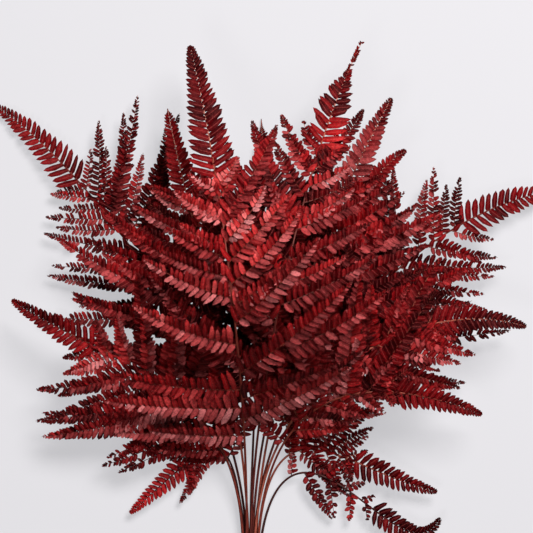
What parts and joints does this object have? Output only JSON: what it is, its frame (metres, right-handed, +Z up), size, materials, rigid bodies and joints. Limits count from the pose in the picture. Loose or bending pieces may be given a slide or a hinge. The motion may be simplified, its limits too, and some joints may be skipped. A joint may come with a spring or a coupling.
{
  "type": "dried fern bunch",
  "caption": "Tied bunch of dried, dyed fern fronds lying on a surface: long pinnate fronds fan out and arch over one another from the bound stems.",
  "frame": {"origin": "on the surface that the bunch lies on, at the centre of the tie's flat underside", "axes": "+Y runs along the bound stems from the tie towards the frond tips, +Z is up from the surface, and +X is to the right as seen from above with the tips away from the viewer"},
  "size_m": [0.58, 0.6361, 0.1808],
  "materials": {
    "dyed_fern": "dried fern dyed deep crimson, matte with a faint sheen",
    "tie_twine": "plain natural twine, matte"
  },
  "bodies": {
    "root": {"frond_back_middle": "dyed_fern", "frond_upper_left": "dyed_fern", "frond_upper_right": "dyed_fern", "frond_drooping_left": "dyed_fern", "frond_low_right": "dyed_fern", "frond_drooping_right": "dyed_fern", "frond_back_left": "dyed_fern", "frond_lower_left": "dyed_fern", "frond_inner_right": "dyed_fern", "frond_back_right": "dyed_fern", "frond_left": "dyed_fern", "frond_right": "dyed_fern", "frond_lower_right": "dyed_fern", "frond_tall_right": "dyed_fern", "frond_front": "dyed_fern", "tie": "tie_twine"}
  },
  "joints": []
}
